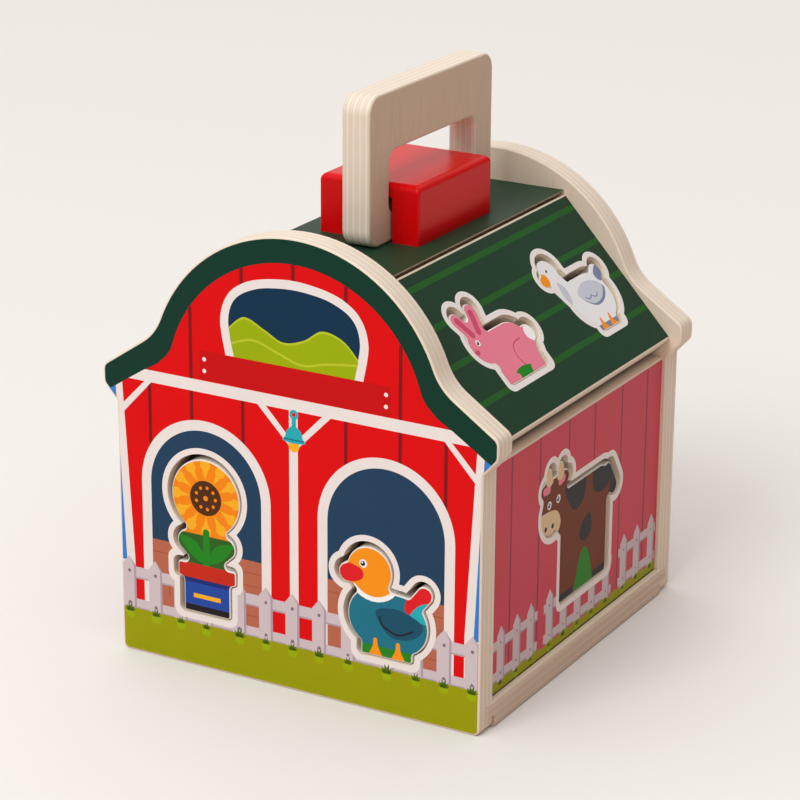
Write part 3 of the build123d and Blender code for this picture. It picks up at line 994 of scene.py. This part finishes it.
def clear_of_holes(board_name, point, margin):
    """True where a point lies outside every hole's white line by more than a margin."""
    return not any(
        holds(ring, (point[0] - centre[0], point[1] - centre[1]))
        for home, outline, centre in HOLES.values() if home == board_name
        for ring in outline(SAW_GAP + WHITE_LINE + margin)
    )


def leaf(angle, long, wide=1.1):
    """A pointed leaf from the origin, with its belly near the middle, angle degrees up from the right."""
    away = (cos(radians(angle)), sin(radians(angle)))
    belly = (away[0] * long * 0.45, away[1] * long * 0.45)
    side = (-away[1] * wide / 2, away[0] * wide / 2)
    return [(0, 0), (belly[0] - side[0], belly[1] - side[1]), (away[0] * long, away[1] * long),
            (belly[0] + side[0], belly[1] + side[1])]


LEAVES = [leaf(*blade) for blade in ((22, 2.9), (48, 3.4), (76, 4.3), (104, 4.0), (132, 3.5), (158, 2.8))]
LIT_LEAVES = [[
    (-2.6, 0.2), (-1.7, -3.2), (-0.7, -2.6), (0, -3.6), (0.7, -2.6), (1.7, -3.2), (2.6, 0.2), (1.6, -0.7),
    (1.0, 0.6), (0, -0.4), (-1.0, 0.6), (-1.6, -0.7),
]]

# %% Grass tufts and nail heads
# The pickets, the height of their tufts and of their nail heads, and the scale of both
GABLE_FENCE = (PICKETS, 18.8, (23.0, 38.2), 1.0)
WALL_FENCE = (WALL_PICKETS, 14.9, (20.4, 34.2), 0.7)
FENCES = {
    "front_gable": GABLE_FENCE, "back_gable": GABLE_FENCE, "right_wall": WALL_FENCE, "left_wall": WALL_FENCE,
}
# The name's ending, the outlines, their low and high side above the board in mm, the smallest and
# the largest size, the seed, and the ink
LIT_TUFTS = ("_lit_tufts", LIT_LEAVES, (0.04, 0.10), (0.85, 1.1), 5, "hill lime")
GRASS_TUFTS = ("_grass_tufts", LEAVES, (0.05, 0.13), (0.8, 1.15), 7, "tuft olive")
NAIL_HEADS = ("_nail_heads", [disc((0, 0), 0.75)], (0.05, 0.14), (0.9, 1.1), 3, "nail grey")
NAIL_MARGIN = 0.8
for board_name, (centres, foot, nails, size) in FENCES.items():
    where, side = BOARDS[board_name], board_name.split("_")[0]
    feet = [(x, foot) for x in centres]
    heads = [(x, y) for x in centres for y in nails if clear_of_holes(board_name, (x, y), NAIL_MARGIN)]
    for kind, spots in ((LIT_TUFTS, feet), (GRASS_TUFTS, feet), (NAIL_HEADS, heads)):
        ending, outlines, (low, high), (smallest, largest), seed, ink_name = kind
        shape = flat_shape("one of " + side + ending, where, outlines, low, high)
        places = [on_board(where, *spot) for spot in spots]
        scatter(side + ending, shape, places, size * smallest, size * largest, seed, ink_name, "barn")

# %% [markdown]
# The CAD nodes keep their meshes. Each board gets plywood that knows which way the board lies, the
# block a coat of gloss enamel, the loose pieces a white primer under their prints, and the small
# fittings turned beech and zinc-plated steel.


# %% Paint, beech and steel
def noisy(name, tones, cell, detail, roughness, shine=0.5, bump=None):
    """A material that wanders between two tones, by noise with cells of that size in mm. bump is
    how strong and how deep the noise stands out."""
    material, tree, shader = blank_material(name)
    place = node(tree, "ShaderNodeTexCoord").outputs["Object"]
    drawn = node(tree, "ShaderNodeMapping", {"Vector": place}, vector_type="POINT")
    drawn.inputs["Scale"].default_value = [1 / (size * MM) for size in cell]
    spots = noise(tree, drawn.outputs[0], 1.0, detail)
    coat(tree, shader, mixed(tree, spots, *[linear(code) for code in tones]), roughness, shine)
    if bump:
        relief(tree, shader, spots, *bump)
    return material


def zinc_steel():
    material, tree, shader = blank_material("zinc-plated steel")
    place = node(tree, "ShaderNodeTexCoord").outputs["Object"]
    spangle = noise(tree, place, 1 / (1.5 * MM), 2.0)
    rough = node(tree, "ShaderNodeMapRange", {"Value": spangle}, To_Min=0.25, To_Max=0.42)
    tree.links.new(rough.outputs[0], shader.inputs["Roughness"])
    shader.inputs["Base Color"].default_value = linear("C6C8C4")
    shader.inputs["Metallic"].default_value = 1.0
    return material


# The brush strokes of the enamel and the flecks of the beech run along Y
STROKES, STROKE_BUMP = (1.6, 30, 1.6), (0.35, 0.12)
enamel = noisy("gloss enamel on beech, red", ("C40207", "DC060C"), STROKES, 4.0, 0.26, 0.14, STROKE_BUMP)
primer = noisy("white primer on birch plywood", ("E9E5E0", "DDD6CE"), (2, 2, 2), 3.0, 0.5)
beech = noisy("turned beech", ("D9B68C", "B98A5C"), (0.8, 12, 0.8), 2.0, 0.55)


# %% Dress the CAD nodes
def dress(node_name, material):
    mesh = frame["nodes"][node_name].data
    if not mesh.materials:
        mesh.materials.append(material)
    for index in range(len(mesh.materials)):
        mesh.materials[index] = material


def middle_of(node_name):
    low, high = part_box(node_name)
    return (Vector(low) + Vector(high)) / 2


for names, through, grain, edge_shade in (
    (("front_gable", "back_gable"), (0, 1, 0), (0, 0, 1), NO_EDGE_SHADE),
    (("right_wall", "left_wall"), (1, 0, 0), (0, 1, 0), NO_EDGE_SHADE),
    (("ridge_board",), (0, 0, 1), (0, 1, 0), NO_EDGE_SHADE),
    (("floor_board",), (0, 0, 1), (0, 1, 0), FLOOR_EDGE_SHADE),
):
    for name in names:
        plywood = birch_plywood("birch plywood, " + name, through, middle_of(name), grain, edge_shade=edge_shade)
        dress(name, plywood)
for name in ("right_roof", "left_roof"):
    where = BOARDS[name]
    half_down = where["origin"] - where["out"] * (BOARD_THICK / 2 * MM)
    dress(name, birch_plywood("birch plywood, " + name, where["out"], half_down, (0, 1, 0)))
handle_low, handle_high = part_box("carry_handle")
# The handle's face veneer tone is darkened and warmed with painted shade and a painted warm bounce from the
# block
HANDLE_THICK, HANDLE_PLIES, HANDLE_SHADED_TONE = (handle_high[0] - handle_low[0]) / MM, 9, "B89E85"
handle_middle = middle_of("carry_handle")
plywood = birch_plywood("birch plywood, handle", (1, 0, 0), handle_middle, (0, 0, 1), HANDLE_THICK,
                        HANDLE_PLIES, HANDLE_SHADED_TONE)
dress("carry_handle", plywood)
for name in HOLES:
    dress(name + "_piece", primer)
dress("handle_block", enamel)
for name in ("right_roof_pins", "left_roof_pins", "roof_rest_pegs", "ridge_dowels", "wall_dowels"):
    dress(name, beech)
dress("block_screws", zinc_steel())
print("dressed", len(frame["nodes"]), "nodes")

# %% [markdown]
# The photograph was taken in a plain studio. A large softbox stands before the front gable, high
# up and a little to the left. A very wide sun from above stands in for a white ceiling, and the
# world for pale walls, brighter upward and where a lit sweep hangs behind the barn. The floor is a
# matt sheet that keeps the soft shadow, and throws a slightly warmer light than the camera sees.


# %% Stage and lights
PAPER_SEEN, PAPER_THROWN = "DEDAD5", "D8C8C0"
FLOOR_REACH = 6.0


def studio_floor():
    material, tree, shader = blank_material("matt studio paper")
    place = node(tree, "ShaderNodeTexCoord").outputs["Object"]
    relief(tree, shader, noise(tree, place, 1 / (2 * MM), 2.0), strength=0.05, depth=0.05)
    seen = node(tree, "ShaderNodeLightPath").outputs["Is Camera Ray"]
    paper = mixed(tree, seen, linear(PAPER_THROWN), linear(PAPER_SEEN))
    coat(tree, shader, paper, roughness=1.0, shine=0.0)
    return material


corners = [(x, y, 0) for x, y in bar((-FLOOR_REACH, -FLOOR_REACH), (FLOOR_REACH, FLOOR_REACH))]
floor_mesh = bpy.data.meshes.new("studio floor")
floor_mesh.from_pydata(corners, [], [(0, 1, 2, 3)])
floor_mesh.materials.append(studio_floor())
floor = add("studio_floor", floor_mesh)

SWEEP_WAY = (-0.47, 0.82, 0.33)
world = bpy.data.worlds.new("studio")
bpy.context.scene.world = world
world.use_nodes = True
air = world.node_tree
air.nodes.clear()
around = node(air, "ShaderNodeTexCoord").outputs["Generated"]
upward = node(air, "ShaderNodeSeparateXYZ", {"Vector": around}).outputs["Z"]
walls = node(air, "ShaderNodeMapRange", {"Value": upward}, To_Min=0.10, To_Max=0.62)
behind = node(air, "ShaderNodeVectorMath", {0: around}, operation="DOT_PRODUCT")
behind.inputs[1].default_value = SWEEP_WAY
sweep = node(air, "ShaderNodeMapRange", {"Value": behind.outputs["Value"]}, From_Min=0.6, To_Max=0.75)
glow = node(air, "ShaderNodeMath", {0: walls.outputs[0], 1: sweep.outputs[0]}, operation="ADD")
sky = node(air, "ShaderNodeBackground", {"Strength": glow.outputs[0]})
sky.inputs["Color"].default_value = linear("F6F1EE")
node(air, "ShaderNodeOutputWorld", {"Surface": sky.outputs[0]})


def lamp(name, kind, power, **settings):
    """Adds a light with its settings and returns the object that carries it."""
    light = bpy.data.lights.new(name, kind)
    light.energy = power
    for key, value in settings.items():
        setattr(light, key, value)
    return add(name, light)


KEY_AT, KEY_TARGET = Vector((-0.4, -2.95, 3.0)), Vector((0, 0, 0.1))
key = lamp("key softbox", "AREA", 75.0, shape="SQUARE", size=2.0, color=linear("F4FBFF")[:3])
key.location = KEY_AT
key.rotation_euler = (KEY_TARGET - KEY_AT).to_track_quat("-Z", "Y").to_euler()
ceiling = lamp("white ceiling", "SUN", 1.75, angle=radians(110))
ceiling.rotation_euler = (radians(20), radians(-8), 0)

# %% [markdown]
# The camera stands where the photographer's did: its place and its three angles come from fitting
# the box's right angles and its symmetry to the photograph.

# %% Camera
PHOTO_SIDE = 800
FOCAL_PIXELS = 2897.05
SENSOR = 36.0
CAMERA_AT = (0.60114, -1.06179, 0.53458)
CAMERA_TURN, CAMERA_DOWN, CAMERA_ROLL = 29.619, 19.408, 0.403
lens = bpy.data.cameras.new("photo camera")
lens.sensor_width = SENSOR
lens.lens = FOCAL_PIXELS / PHOTO_SIDE * SENSOR
lens.clip_start = 0.05
lens.clip_end = 50
camera = add("photo camera", lens)
swing = Matrix.Rotation(radians(CAMERA_TURN), 4, "Z")
tilt = Matrix.Rotation(radians(90 - CAMERA_DOWN), 4, "X")
roll = Matrix.Rotation(radians(CAMERA_ROLL), 4, "Z")
camera.matrix_world = Matrix.Translation(CAMERA_AT) @ swing @ tilt @ roll
bpy.context.scene.camera = camera
bpy.context.scene.view_settings.view_transform = "Standard"
